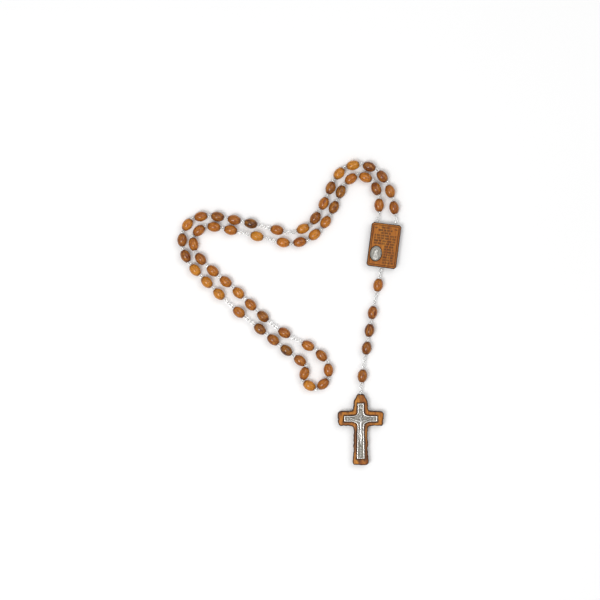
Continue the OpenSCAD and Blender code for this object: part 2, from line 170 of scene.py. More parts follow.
def inside(poly, x, y):
    """Even-odd test, on arrays."""
    hit = np.zeros(x.shape, bool)
    px, py = poly[:, 0], poly[:, 1]
    qx, qy = np.roll(px, -1), np.roll(py, -1)
    for ax, ay, bx, by in zip(px, py, qx, qy):
        if ay == by:
            continue
        cross = ((ay > y) != (by > y)) & (x < (bx - ax) * (y - ay) / (by - ay) + ax)
        hit ^= cross
    return hit


def distance_to(poly, pts):
    """Distance of each point from a closed line."""
    a, b = poly, np.roll(poly, -1, axis=0)
    best = np.full(len(pts), 1e9)
    for p, q in zip(a, b):
        d = q - p
        t = np.clip(((pts - p) @ d) / max(d @ d, 1e-12), 0, 1)
        best = np.minimum(best, np.hypot(*(pts - p - t[:, None] * d).T))
    return best


def relief(outline, grid, height, floor_z, chamfer=0.0):
    """A closed plate: top z = height(xy, distance to the edge), straight sides, and a flat back
    that rises by chamfer at the edge. Returns vertices, faces, and each vertex's distance to the
    edge, which is 0 on the back. The back's vertices are the second half."""
    lo, hi = outline.min(0), outline.max(0)
    gx, gy = np.meshgrid(np.arange(lo[0], hi[0], grid), np.arange(lo[1], hi[1], grid))
    pts = np.column_stack([gx.ravel(), gy.ravel()])
    pts = pts[inside(outline, pts[:, 0], pts[:, 1])]
    near = distance_to(outline, pts)
    pts, near = pts[near > grid * 0.6], near[near > grid * 0.6]
    every = np.vstack([outline, pts])
    n = len(outline)
    vs, _, fs, *_ = delaunay_2d_cdt(
        [Vector(p) for p in every], [(i, (i + 1) % n) for i in range(n)], [list(range(n))], 1, 1e-7
    )
    xy = np.array([(v.x, v.y) for v in vs])
    far = np.concatenate([np.zeros(n), near]) if len(xy) == len(every) else distance_to(outline, xy)
    z = height(xy, far)
    count = len(xy)
    lift = chamfer * (1 - smoothstep(0.0, max(1.6 * chamfer, 1e-3), far))
    verts = np.vstack([np.column_stack([xy, z]), np.column_stack([xy, floor_z + lift])])
    faces = [tuple(f) for f in fs] + [tuple(count + i for i in reversed(f)) for f in fs]
    for i in range(n):
        j = (i + 1) % n
        faces.append((j, i, count + i, count + j))
    far = np.concatenate([far, np.zeros(count)])
    return verts, faces, far


def outline_normals(outline):
    """Outward unit normals of a counterclockwise line."""
    d = np.roll(outline, -1, axis=0) - np.roll(outline, 1, axis=0)
    d /= np.linalg.norm(d, axis=1)[:, None]
    return np.column_stack([d[:, 1], -d[:, 0]])


def smoothstep(a, b, x):
    """0 at a and 1 at b, with a soft start and end."""
    t = np.clip((x - a) / (b - a), 0, 1)
    return t * t * (3 - 2 * t)


def waves(x, seed, terms=6, low=0.1, high=1.2):
    """Smooth repeatable noise along a line, within about -1..1."""
    rng = np.random.default_rng(seed)
    total = np.zeros_like(x)
    for _ in range(terms):
        total += np.sin(x * rng.uniform(low, high) + rng.uniform(0, 6.28)) * rng.uniform(0.4, 1)
    return total / terms * 1.6


# ---------------------------------------------------------------- materials

class Nodes:
    """A short way to write a node material."""

    def __init__(self, name):
        self.material = bpy.data.materials.new(name)
        self.material.use_nodes = True
        self.tree = self.material.node_tree
        self.shader = self.tree.nodes["Principled BSDF"]

    def add(self, kind, **values):
        node = self.tree.nodes.new(kind)
        for key, value in values.items():
            if key in node.inputs:
                self.feed(node.inputs[key], value)
            else:
                setattr(node, key, value)
        return node

    def feed(self, socket, value):
        if hasattr(value, "is_output"):
            self.tree.links.new(value, socket)
        else:
            socket.default_value = value

    def attribute(self, name, output="Fac"):
        return self.add("ShaderNodeAttribute", attribute_name=name).outputs[output]

    def math(self, operation, a, b=0.0, c=0.0):
        node = self.add("ShaderNodeMath", operation=operation)
        for socket, value in zip(node.inputs, (a, b, c)):
            self.feed(socket, value)
        return node.outputs[0]

    def scaled(self, vector, factors):
        node = self.add("ShaderNodeVectorMath", operation="MULTIPLY")
        self.feed(node.inputs[0], vector)
        node.inputs[1].default_value = factors
        return node.outputs[0]

    def noise(self, vector, scale, detail=3.0, rough=0.55, distortion=0.0):
        return self.add(
            "ShaderNodeTexNoise", Vector=vector, Scale=scale, Detail=detail, Roughness=rough,
            Distortion=distortion,
        ).outputs["Fac"]

    def ramp(self, fac, stops):
        node = self.add("ShaderNodeValToRGB")
        self.feed(node.inputs[0], fac)
        ramp = node.color_ramp
        while len(ramp.elements) < len(stops):
            ramp.elements.new(0.5)
        for element, (place_at, colour) in zip(ramp.elements, stops):
            element.position = place_at
            element.color = (*colour, 1) if len(colour) == 3 else colour
        return node.outputs[0]

    def mix(self, fac, a, b, blend="MIX"):
        node = self.add("ShaderNodeMix", data_type="RGBA", blend_type=blend)
        self.feed(node.inputs["Factor"], fac)
        self.feed(node.inputs[6], a)
        self.feed(node.inputs[7], b)
        return node.outputs[2]

    def bump(self, height, strength, distance):
        node = self.add("ShaderNodeBump", Height=height, Strength=strength, Distance=distance)
        return node.outputs[0]

    def set(self, **values):
        for key, value in values.items():
            self.feed(self.shader.inputs[key.replace("_", " ")], value)
        return self.material


def grey(v):
    return (v, v, v)


def bead_material():
    """Lacquered olive wood. grain is the place in the bead in mm, along the hole first;
    tone is 0 golden to 1 dark, red is 0 brown to 1 ruddy, and ends is 1 at the tips and round the hole, where
    shade is painted into the colour."""
    m = Nodes("bead_wood")
    at = m.attribute("grain", "Vector")
    tone = m.attribute("tone")
    red = m.attribute("red")
    figure = m.noise(m.scaled(at, (0.10, 0.42, 0.42)), 1.0, 3.0, 0.55, 1.4)
    lines = m.noise(m.scaled(at, (0.25, 2.6, 2.6)), 1.0, 4.0, 0.6, 0.8)
    pores = m.noise(m.scaled(at, (0.9, 9.0, 9.0)), 1.0, 2.0, 0.6)
    base = m.ramp(tone, [
        (0.0, (0.60, 0.235, 0.014)), (0.35, (0.36, 0.095, 0.007)), (0.65, (0.15, 0.028, 0.004)),
        (1.0, (0.022, 0.006, 0.003)),
    ])
    ruddy = m.ramp(tone, [
        (0.0, (0.46, 0.100, 0.010)), (0.5, (0.21, 0.029, 0.005)), (1.0, (0.050, 0.009, 0.003)),
    ])
    base = m.mix(red, base, ruddy)
    light = m.mix(m.ramp(figure, [(0.30, grey(0.0)), (0.62, grey(1.0))]), base,
                  m.mix(0.5, base, (0.78, 0.31, 0.03, 1)))
    dark = m.mix(m.ramp(lines, [(0.36, grey(0.9)), (0.54, grey(0.0))]), light,
                 m.mix(0.8, base, (0.08, 0.016, 0.004, 1)))
    colour = m.mix(m.ramp(pores, [(0.28, grey(0.5)), (0.42, grey(0.0))]), dark, (0.09, 0.025, 0.008, 1))
    # Painted shade: the tips and the wood round the hole are darkened towards dark brown, standing in for the
    # darker rims the lighting gives.
    edge = m.attribute("ends")
    colour = m.mix(edge, colour, (0.07, 0.02, 0.008, 1))
    rough = m.ramp(lines, [(0.3, grey(0.30)), (0.7, grey(0.20))])
    return m.set(
        Base_Color=colour, Roughness=rough, Coat_Weight=0.45, Coat_Roughness=0.06, Coat_IOR=1.5,
        Specular_IOR_Level=0.20, Normal=m.bump(lines, 0.10, 0.0003),
    )


def board_material(name, light, mid, deep, char_and_shade_colour, seed):
    """Satin carved wood. at is the place in the board in mm; the darkening attribute runs from 0 clean to 1
    dark, for charred wood and, on the cross, also painted shadow round the metal plate.
    """
    m = Nodes(name)
    at = m.attribute("at", "Vector")
    char_and_shade = m.attribute("char_and_shade")
    moved = m.add("ShaderNodeVectorMath", operation="ADD")
    m.feed(moved.inputs[0], at)
    moved.inputs[1].default_value = (seed, 3.1 * seed, 0)
    at = moved.outputs[0]
    figure = m.noise(m.scaled(at, (0.22, 0.045, 0.2)), 1.0, 3.0, 0.5, 1.6)
    lines = m.noise(m.scaled(at, (2.0, 0.16, 1.6)), 1.0, 5.0, 0.62, 0.9)
    pores = m.noise(m.scaled(at, (6.5, 0.7, 6.5)), 1.0, 2.0, 0.6)
    base = m.ramp(figure, [(0.28, deep), (0.5, mid), (0.74, light)])
    line_colour, pore_colour = ((*[share * c for c in deep], 1) for share in (0.55, 0.4))
    streak = m.mix(m.ramp(lines, [(0.30, grey(0.8)), (0.50, grey(0.0))]), base, line_colour)
    colour = m.mix(m.ramp(pores, [(0.30, grey(0.6)), (0.44, grey(0.0))]), streak, pore_colour)
    patch = m.noise(m.scaled(at, (0.5, 0.5, 0.5)), 1.0, 4.0, 0.6)
    # Darken towards the dark colour: real char, and on the cross also a painted shadow round the metal plate.
    char_and_shade_mix = m.math("MULTIPLY", char_and_shade, m.math("MULTIPLY_ADD", patch, 0.9, 0.55))
    colour = m.mix(m.ramp(char_and_shade_mix, [(0.05, grey(0.0)), (0.95, grey(1.0))]), colour, char_and_shade_colour)
    rough = m.ramp(lines, [(0.3, grey(0.52)), (0.7, grey(0.36))])
    return m.set(
        Base_Color=colour, Roughness=rough, Coat_Weight=0.05, Coat_Roughness=0.3,
        Specular_IOR_Level=0.22, Normal=m.bump(m.math("ADD", lines, pores), 0.25, 0.0003),
    )


def silver_material():
    """Antiqued casting: bright where it is high and rubbed, dark in the recesses.
    dirt is 0 rubbed to 1 blackened."""
    m = Nodes("cast_metal")
    at = m.attribute("at", "Vector")
    dirt = m.attribute("dirt")
    speck = m.noise(m.scaled(at, (2.4, 2.4, 2.4)), 1.0, 5.0, 0.65)
    fine = m.noise(m.scaled(at, (9.0, 9.0, 9.0)), 1.0, 3.0, 0.6)
    amount = m.math("ADD", m.math("MULTIPLY", dirt, 1.15), m.math("MULTIPLY_ADD", speck, 0.24, -0.12))
    colour = m.ramp(amount, [
        (0.05, (0.60, 0.585, 0.56)), (0.35, (0.40, 0.39, 0.36)), (0.65, (0.19, 0.175, 0.145)),
        (1.0, (0.07, 0.062, 0.048)),
    ])
    rough = m.ramp(amount, [(0.0, grey(0.26)), (0.6, grey(0.5)), (1.0, grey(0.7))])
    metallic = m.ramp(amount, [(0.3, grey(1.0)), (0.9, grey(0.55))])
    return m.set(
        Base_Color=colour, Roughness=rough, Metallic=metallic,
        Normal=m.bump(m.math("ADD", speck, fine), 0.35, 0.00012),
    )


def wire_material():
    """Bright drawn wire with a little handling wear, patterned by place."""
    m = Nodes("wire_metal")
    at = m.add("ShaderNodeTexCoord").outputs["Object"]
    wear = m.noise(at, 900.0, 4.0, 0.6)
    fine = m.noise(at, 5200.0, 2.0, 0.6)
    colour = m.ramp(wear, [(0.3, (0.60, 0.60, 0.59)), (0.6, (0.83, 0.83, 0.82))])
    rough = m.ramp(wear, [(0.3, grey(0.34)), (0.7, grey(0.18))])
    return m.set(Base_Color=colour, Roughness=rough, Metallic=1.0, Normal=m.bump(fine, 0.15, 0.00004))


BEAD = bead_material()
TABLET_WOOD = board_material("tablet_wood", (0.53, 0.205, 0.024), (0.42, 0.140, 0.013), (0.30, 0.082, 0.008),
                             (0.050, 0.019, 0.007, 1), 4.0)
# The cross's dark colour paints both its charred edges and the painted shadow round the metal plate.
CROSS_WOOD = board_material("cross_wood", (0.66, 0.27, 0.026), (0.46, 0.155, 0.015), (0.17, 0.044, 0.008),
                            (0.040, 0.017, 0.008, 1), 17.0)
SILVER = silver_material()
WIRE = wire_material()


# ---------------------------------------------------------------- beads

wires = []
for node, obj in frame["nodes"].items():
    if "pin" in node or "link" in node or node == "cross_ring":
        for shell in islands(obj):
            middle, along = long_axis(shell)
            reach = np.abs((shell - middle) @ along).max()
            wires.append({"node": node, "at": middle, "along": along, "reach": reach})

bead_shells = []
for node, obj in frame["nodes"].items():
    if "bead" in node:
        for shell in islands(obj):
            bead_shells.append((node, (shell.min(0) + shell.max(0)) / 2, shell))

pins = [w for w in wires if "pin" in w["node"]]
for node, middle, shell in bead_shells:
    pin = min(pins, key=lambda w: np.linalg.norm(w["at"] - middle))
    axis = long_axis(shell)[1]
    axis[2] = 0
    axis *= np.sign(axis @ pin["along"]) / np.linalg.norm(axis)
    pin.update(bead=node, centre=middle, axis=axis, length=np.ptp(shell @ axis))
    side = shell - middle
    side -= np.outer(side @ axis, axis)
    radii = np.linalg.norm(side, axis=1)
    pin["radius"], pin["bore"] = radii.max(), radii.min()

# The loop's wires in order, from the tablet's left screw eye round to its right one
tab_c, tab_a, tab_w, tab_h, tab_z0, tab_z1 = flat_frame("tablet")
here = to_world([[-tab_w * 0.3, tab_h / 2 + 1.5, 0]], tab_c, tab_a)[0][:2]
loose = [w for w in wires if w["node"].startswith("loop")]
order = []
while loose:
    def nearest_end(w):
        return min(np.linalg.norm((w["at"] + s * w["reach"] * w["along"])[:2] - here) for s in (-1, 1))
    step = min(loose, key=nearest_end)
    ends = [(step["at"] + s * step["reach"] * step["along"])[:2] for s in (-1, 1)]
    here = max(ends, key=lambda e: np.linalg.norm(e - here))
    order.append(step)
    loose = [w for w in loose if w is not step]
ring = [w for w in order if "bead" in w]

# Tone (0 golden to 1 dark) and redness along the loop, and then down the tail
LEFT = [.35, .55, .15, .35, .75, .7, .3, .15, .35, .1, .1, .35, .3, .45, .3, .5, .4, .3, .25, .35, .75, .45,
        .3, .55, .35, .4, .1]
RIGHT = [.45, .4, .6, .65, .1, .15, .7, .4, .7, .15, .4, .95, .45, .7, .4, .1, .65, .6, .05, .1, .15, .4, .7,
         .55, .8, .45, .4]
TAIL_TONES = [.36, .62, .82, .80, .60]
TAIL_REDS = [.25, .8, .9, .9, .1]
tones = LEFT + RIGHT[::-1]


def bead_profile(length, radius, bore):
    """Half outline of a bead from one end of the hole to the other: (along, radius)."""
    end = radius * 0.42
    sag = radius - end
    arc = (length * length / 4 + sag * sag) / (2 * sag)
    xs = np.linspace(-1, 1, 31)
    xs = np.sign(xs) * (1 - (1 - np.abs(xs)) ** 1.35)
    pts = [(x * length / 2, radius - arc + math.sqrt(arc * arc - (x * length / 2) ** 2)) for x in xs]
    soft = 0.13
    lip = [(-length / 2 + 0.04, bore + 0.02), (-length / 2 + 0.01, bore + 0.18), (-length / 2, bore + 0.4),
           (-length / 2 + 0.02, end - 0.25)]
    pts[0] = (-length / 2 + soft, pts[0][1] + 0.02)
    body = [p for p in pts if abs(p[0]) < length / 2 - soft * 1.2]
    first = (-length / 2 + soft * 0.75, end + 0.10)
    last = (-first[0], first[1])
    back = [(-x, r) for x, r in reversed(lip)]
    return [(-length / 2 + 0.5, bore)] + lip + [first] + body + [last] + back + [(length / 2 - 0.5, bore)]


def bead_mesh(pin, tone, red, segments=40):
    """One bead on its pin, with its attributes."""
    along = pin["axis"]
    side = np.cross([0, 0, 1.0], along)
    side /= np.linalg.norm(side)
    up = np.cross(along, side)
    profile = bead_profile(pin["length"], pin["radius"] * RNG.uniform(0.985, 1.0), pin["bore"])
    turn = RNG.uniform(0, 2 * math.pi)
    shift = RNG.uniform(-40, 40, 3)
    angles = np.linspace(0, 2 * math.pi, segments, endpoint=False)
    verts, grain, ends = [], [], []
    for x, r in profile:
        for a in angles:
            p = pin["centre"] + along * x + (side * math.cos(a) + up * math.sin(a)) * r
            verts.append(p)
            b = a + turn
            grain.append((x + shift[0], r * math.cos(b) + shift[1], r * math.sin(b) + shift[2]))
            # Painted shade mask: high next to the hole and rising towards each tip, so the bead's ends are
            # darkened.
            tip = smoothstep(0.55, 1.0, abs(x) / pin["length"] * 2)
            ends.append(max(0.9 * float(np.clip(1 - (r - pin["bore"]) / 0.9, 0, 1)), 0.6 * float(tip)))
    rows = len(profile)
    faces = []
    for i in range(rows):
        for j in range(segments):
            k, n = (j + 1) % segments, (i + 1) % rows
            faces.append((i * segments + j, i * segments + k, n * segments + k, n * segments + j))
    count = len(verts)
    return verts, faces, grain, [tone] * count, [red] * count, ends


def build_beads(name, node, members):
    verts, faces, grain, tone, red, ends = [], [], [], [], [], []
    for pin, t, r in members:
        v, f, g, tt, rr, e = bead_mesh(pin, t, r)
        faces += [tuple(i + len(verts) for i in face) for face in f]
        verts += v
        grain += g
        tone += tt
        red += rr
        ends += e
    obj = new_piece(name, verts, faces, BEAD, True, {"grain": grain, "tone": tone, "red": red, "ends": ends})
    place(obj, node)


by_node = {}
for pin, t in zip(ring, tones):
    tone = 1.25 * t - 0.08 + RNG.uniform(-.06, .06)
    by_node.setdefault(pin["bead"], []).append((pin, tone, RNG.uniform(0, .6)))
for node, members in by_node.items():
    build_beads(node + "_wood", node, members)
for n, t in enumerate(TAIL_TONES, 1):
    node = f"tail_bead_{n}"
    pin = next(w for w in pins if w.get("bead") == node)
    build_beads(node + "_wood", node, [(pin, t, TAIL_REDS[n - 1])])

# Wire keeps its CAD shape
for node, obj in frame["nodes"].items():
    if BODY_OF[node] and ("pin" in node or "link" in node or "screw" in node or node == "cross_ring"):
        obj.data.materials.clear()
        obj.data.materials.append(WIRE)
        obj.data.polygons.foreach_set("use_smooth", [True] * len(obj.data.polygons))


# ---------------------------------------------------------------- tablet

def local_xy(node, centre, angle):
    """A node's vertices in a flat piece's own frame."""
    pts = np.vstack(islands(frame["nodes"][node]))
    c, s = math.cos(angle), math.sin(angle)
    x, y = pts[:, 0] - centre[0], pts[:, 1] - centre[1]
    return np.column_stack([x * c + y * s, -x * s + y * c, pts[:, 2]])


med = local_xy("medal", tab_c, tab_a)
med_c = (med[:, :2].min(0) + med[:, :2].max(0)) / 2
med_w, med_h = np.ptp(med[:, 0]), np.ptp(med[:, 1])
med_z0, med_z1 = med[:, 2].min(), med[:, 2].max()


def stroke_rows():
    """Generic engraved strokes in rows, like writing too small to read: each is (x0, x1, y, depth)."""
    rng = np.random.default_rng(21)
    rows = 14
    out = []
    top, bottom = tab_h * 0.40, -tab_h * 0.385
    for i in range(rows):
        y = top + (bottom - top) * i / (rows - 1)
        left, right = -tab_w * 0.36, tab_w * 0.36
        if i in (0, 1, 2):
            left, right = -tab_w * (0.16 + 0.09 * (i == 1)), tab_w * (0.18 + 0.08 * (i == 1))
        if abs(y - med_c[1]) < med_h / 2 + 0.7:
            left = med_c[0] + med_w / 2 + 1.0
        x = left
        while x < right - 0.5:
            length = rng.uniform(0.9, 3.2)
            end = min(x + length, right)
            out.append((x, end, y + rng.uniform(-.06, .06), rng.uniform(0.75, 1.0)))
            x = end + rng.uniform(0.35, 0.6)
    return out


STROKES = stroke_rows()


def stroke_mask(xy):
    """How deep the engraving is at each place, 0..1: rows of short uneven upright nicks."""
    mask = np.zeros(len(xy))
    wob = np.sin(xy[:, 0] * 9.3) * 0.5 + np.sin(xy[:, 0] * 17.1 + xy[:, 1] * 2.2) * 0.5
    for x0, x1, y, depth in STROKES:
        near = (xy[:, 0] > x0 - 0.3) & (xy[:, 0] < x1 + 0.3) & (np.abs(xy[:, 1] - y) < 0.9)
        if not near.any():
            continue
        p = xy[near]
        tall = 0.64 + 0.12 * wob[near]
        row = smoothstep(tall + 0.1, tall - 0.1, np.abs(p[:, 1] - y))
        nick = 0.72 + 0.28 * np.sin(p[:, 0] * 2 * math.pi / 0.62 + y * 5)
        end = smoothstep(x0 - 0.06, x0 + 0.1, p[:, 0]) * smoothstep(x1 + 0.06, x1 - 0.1, p[:, 0])
        mask[near] = np.maximum(mask[near], row * nick * end * depth)
    return mask


def corner_ornament(xy):
    """A small burnt leaf pair in each upper corner."""
    out = np.zeros(len(xy))
    for s in (-1, 1):
        c = np.array([s * tab_w * 0.34, tab_h * 0.395])
        for a, length in ((20, 1.5), (70, 1.3), (120, 1.1)):
            t = math.radians(a)
            d = np.array([-s * math.cos(t), -math.sin(t)])
            q = xy - c - d * length * 0.45
            u, v = q @ d, q @ np.array([-d[1], d[0]])
            out = np.maximum(out, smoothstep(1.0, 0.6, np.hypot(u / (length * 0.55), v / 0.36)))
    return out


def build_tablet():
    out = rounded_rectangle(tab_w, tab_h, 1.9, 0.14)
    s = np.arange(len(out)) * 0.14
    out = out - outline_normals(out) * (0.10 + 0.09 * waves(s, 5, 9, 0.3, 2.4))[:, None]
    inset_w, line = 1.25, 0.32

    def pocket(xy):
        q = np.hypot((xy[:, 0] - med_c[0]) / (med_w / 2 + 0.1), (xy[:, 1] - med_c[1]) / (med_h / 2 + 0.1))
        return smoothstep(1.03, 0.99, q)

    def height(xy, far):
        z = np.full(len(xy), tab_z1)
        z -= 0.55 * (1 - np.sqrt(np.clip(1 - (1 - np.clip(far / 0.7, 0, 1)) ** 2, 0, 1)))
        groove = smoothstep(line, line * 0.3, np.abs(far - inset_w - line / 2))
        z -= 0.22 * groove
        z -= 0.20 * stroke_mask(xy) * smoothstep(1.7, 1.9, far)
        z -= 0.12 * corner_ornament(xy)
        z -= 0.03 * (1 + waves(xy[:, 0] * 1.0 + xy[:, 1] * 0.1, 9, 6, 0.4, 2.0)) * 0.5
        return z - (z - med_z0) * pocket(xy)

    verts, faces, far = relief(out, 0.13, height, tab_z0, chamfer=0.35)
    xy = verts[:, :2]
    top = verts[:, 2] > tab_z1 - 1.2
    char_and_shade = np.where(top, 1.0 * smoothstep(0.85, 0.25, far), 0.9)
    char_and_shade = np.maximum(char_and_shade, 0.85 * smoothstep(line, line * 0.3, np.abs(far - inset_w - line / 2)) * top)
    char_and_shade = np.maximum(char_and_shade, 1.0 * stroke_mask(xy) * smoothstep(1.7, 1.9, far) * top)
    char_and_shade = np.maximum(char_and_shade, 0.7 * corner_ornament(xy) * top)
    rim = np.hypot((xy[:, 0] - med_c[0]) / (med_w / 2), (xy[:, 1] - med_c[1]) / (med_h / 2))
    char_and_shade = np.maximum(char_and_shade, 0.85 * smoothstep(1.16, 1.02, rim) * top)
    char_and_shade = np.maximum(char_and_shade, 0.35 * smoothstep(2.6, 0.6, far) * (0.5 + 0.5 * waves(xy[:, 1], 3)) * top)
    at = verts.copy()
    obj = new_piece("tablet_carved", to_world(verts, tab_c, tab_a), faces, TABLET_WOOD, True,
                    {"at": at, "char_and_shade": np.clip(char_and_shade, 0, 1)})
    place(obj, "tablet")


build_tablet()


# ---------------------------------------------------------------- medal

def ellipsoid_height(xy, cx, cy, rx, ry, high, turn=0.0):
    """Height of a rounded lump on a plane, 0 outside it."""
    c, s = math.cos(turn), math.sin(turn)
    dx, dy = xy[:, 0] - cx, xy[:, 1] - cy
    u, v = (dx * c + dy * s) / rx, (-dx * s + dy * c) / ry
    return high * np.sqrt(np.clip(1 - u * u - v * v, 0, 1))


def medal_height(xy):
    """Relief of a generic veiled figure in a rayed field: z above the field."""
    w, h = med_w, med_h
    angle = np.arctan2(xy[:, 1] + h * 0.02, xy[:, 0])
    out_from_middle = np.hypot(xy[:, 0] / w, xy[:, 1] / h)
    z = 0.05 * (0.5 + 0.5 * np.cos(angle * 32)) * smoothstep(0.2, 0.4, out_from_middle)
    cloak = ellipsoid_height(xy, 0, -h * 0.30, w * 0.27, h * 0.36, 0.34)
    veil = ellipsoid_height(xy, 0, h * 0.14, w * 0.175, h * 0.17, 0.40)
    shoulders = ellipsoid_height(xy, 0, -h * 0.06, w * 0.23, h * 0.14, 0.36)
    face = ellipsoid_height(xy, 0, h * 0.125, w * 0.088, h * 0.092, 0.14)
    z = np.maximum.reduce([z, cloak, veil, shoulders])
    hollow = smoothstep(1.25, 0.95, np.hypot(xy[:, 0] / (w * 0.088), (xy[:, 1] - h * 0.125) / (h * 0.092)))
    z = z - 0.10 * hollow + face
    nose = ellipsoid_height(xy, 0, h * 0.115, w * 0.012, h * 0.028, 0.05)
    brow = ellipsoid_height(xy, 0, h * 0.150, w * 0.05, h * 0.010, 0.02)
    z = z + nose + brow
    for s in (-1, 1):
        z = z - ellipsoid_height(xy, s * w * 0.032, h * 0.132, w * 0.018, h * 0.010, 0.03)
    z = z - ellipsoid_height(xy, 0, h * 0.078, w * 0.025, h * 0.006, 0.02)
    body = (xy[:, 1] < h * 0.02) & (z > 0.1)
    folds = 0.035 * np.sin(xy[:, 0] * 9 + np.sin(xy[:, 1] * 1.6) * 1.2)
    z = z + folds * body * smoothstep(0, 0.25, z)
    for s in (-1, 1):
        hand = ellipsoid_height(xy, s * w * 0.035, -h * 0.11, w * 0.03, h * 0.06, 0.10, s * 0.25)
        z = z + hand
    return z


def build_medal():
    t = np.linspace(0, 2 * math.pi, 180, endpoint=False)
    out = np.column_stack([med_w / 2 * np.cos(t), med_h / 2 * np.sin(t)])
    rim = 0.62
    field_z = med_z1 - 0.5

    def height(xy, far):
        z = field_z + np.clip(medal_height(xy), 0, 0.5)
        band = np.clip((far - rim) / 0.12, 0, 1)
        dome = field_z + 0.5 * np.sqrt(np.clip(1 - ((far - rim / 2) / (rim / 2)) ** 2 * 0.75, 0, 1))
        beads_round = 0.05 * np.cos(np.arctan2(xy[:, 1] / med_h, xy[:, 0] / med_w) * 56)
        dome = dome - 0.05 + beads_round * smoothstep(0.3, 0.15, np.abs(far - rim * 0.55))
        return np.minimum(np.where(band > 0, z * band + (1 - band) * dome, dome), med_z1)

    verts, faces, far = relief(out, 0.085, height, med_z0)
    z = verts[:, 2]
    rel = np.clip((z - field_z) / 0.42, 0, 1)
    dirt = np.where(far > rim, 0.16 + 0.30 * (1 - rel) ** 1.2, 0.25 + 0.75 * smoothstep(0.36, 0.0, far))
    dirt = np.maximum(dirt, 0.50 * smoothstep(0.20, 0.0, np.abs(far - rim - 0.1)))
    at = verts.copy()
    verts[:, :2] += med_c
    obj = new_piece("medal_cast", to_world(verts, tab_c, tab_a), faces, SILVER, True,
                    {"at": at, "dirt": dirt})
    place(obj, "medal")


build_medal()


# ---------------------------------------------------------------- wooden cross

cr_c, cr_a, cr_w, cr_h, cr_z0, cr_z1 = flat_frame("cross_wood", 0.0)
wood_pts = local_xy("cross_wood", cr_c, cr_a)
arm = wood_pts[np.abs(wood_pts[:, 0]) > cr_w * 0.4]
arm_mid, arm_h = (arm[:, 1].min() + arm[:, 1].max()) / 2, np.ptp(arm[:, 1])
upright = wood_pts[(wood_pts[:, 1] > arm_mid + arm_h * 0.6) & (wood_pts[:, 1] < cr_h / 2 - 3)]
up_w = np.ptp(upright[:, 0])
foot_w = np.ptp(wood_pts[wood_pts[:, 1] < -cr_h * 0.35][:, 0])
knob_w = 0.56 * up_w


def cross_line():
    """Live-edge outline of the wooden cross, just inside the CAD one."""
    top, foot = cr_h / 2, -cr_h / 2
    a, b = arm_mid + arm_h / 2, arm_mid - arm_h / 2
    u, f, w, k = up_w / 2, foot_w / 2, cr_w / 2, knob_w / 2
    half = [
        (0, top), (k * 0.75, top - 0.1), (k, top - 0.9), (k + 0.5, top - 2.4), (u - 0.7, top - 3.9),
        (u - 0.1, top - 5.6), (u, a + 1.6), (u + 0.5, a + 0.35), (u + 1.8, a),
        (w - 2.4, a), (w - 0.7, a - 0.5), (w, a - 2.2), (w, b + 2.4), (w - 0.6, b + 0.7), (w - 2.2, b),
        (u + 1.8, b), (u + 0.4, b - 0.3), (u, b - 1.4), (u + 0.15, -cr_h * 0.2), (f - 0.5, foot + 7),
        (f, foot + 4), (f, foot + 1.4), (f - 0.8, foot + 0.3), (f - 2.0, foot), (0, foot),
    ]
    pts = half + [(-x, y) for x, y in reversed(half[1:-1])]
    line = resample(np.array(pts[::-1], float), 0.4)
    for _ in range(3):
        line = (np.roll(line, 1, 0) + 2 * line + np.roll(line, -1, 0)) / 4
    line = resample(line, 0.16)
    s = np.arange(len(line)) * 0.16
    low = line[:, 1] < arm_mid
    depth = 0.18 + 0.17 * waves(s, 12, 9, 0.5, 2.6) + low * (0.26 + 0.26 * waves(s, 31, 7, 0.6, 1.9))
    line = line - outline_normals(line) * np.clip(depth, 0.01, 1.0)[:, None]
    bite = np.array([-foot_w / 2, foot + cr_h * 0.195])
    near = np.linalg.norm(line - bite, axis=1)
    line[:, 0] += 1.2 * smoothstep(1.3, 0.2, near)
    return resample(line, 0.16)


_, _, pl_w, _, _, pl_z1 = flat_frame("crucifix_plate", 0.0)
plate_pts = local_xy("crucifix_plate", cr_c, cr_a)
pl_lo, pl_hi = plate_pts.min(0), plate_pts.max(0)
p_arm = plate_pts[np.abs(plate_pts[:, 0] - (pl_lo[0] + pl_hi[0]) / 2) > pl_w * 0.45]
p_mid, p_arm_h = (p_arm[:, 1].min() + p_arm[:, 1].max()) / 2, np.ptp(p_arm[:, 1])
p_top_w = np.ptp(plate_pts[plate_pts[:, 1] > pl_hi[1] - 0.3][:, 0])
p_foot_w = np.ptp(plate_pts[plate_pts[:, 1] < pl_lo[1] + 0.3][:, 0])
bed_z = pl_z1 - 1.2


def plate_line(grow=0.0, step=0.11):
    """Outline of the metal cross with hollow-cornered flares at the crossing."""
    t, f, w = p_top_w / 2 + grow, p_foot_w / 2 + grow, pl_w / 2 + grow
    a, b = p_mid + p_arm_h / 2 + grow, p_mid - p_arm_h / 2 - grow
    top, foot = pl_hi[1] + grow, pl_lo[1] - grow
    half = [(0, top), (t, top), (t, a + 2.6), (t + 0.35, a + 1.3), (t + 1.3, a + 0.45), (t + 3.2, a), (w, a),
            (w, b), (t + 3.4, b), (t + 1.7, b - 0.7), (t + 0.4, b - 1.7), (t + 0.05, b - 3.2), (f, foot),
            (0, foot)]
    pts = half + [(-x, y) for x, y in reversed(half[1:-1])]
    return resample(np.array(pts[::-1], float), step)


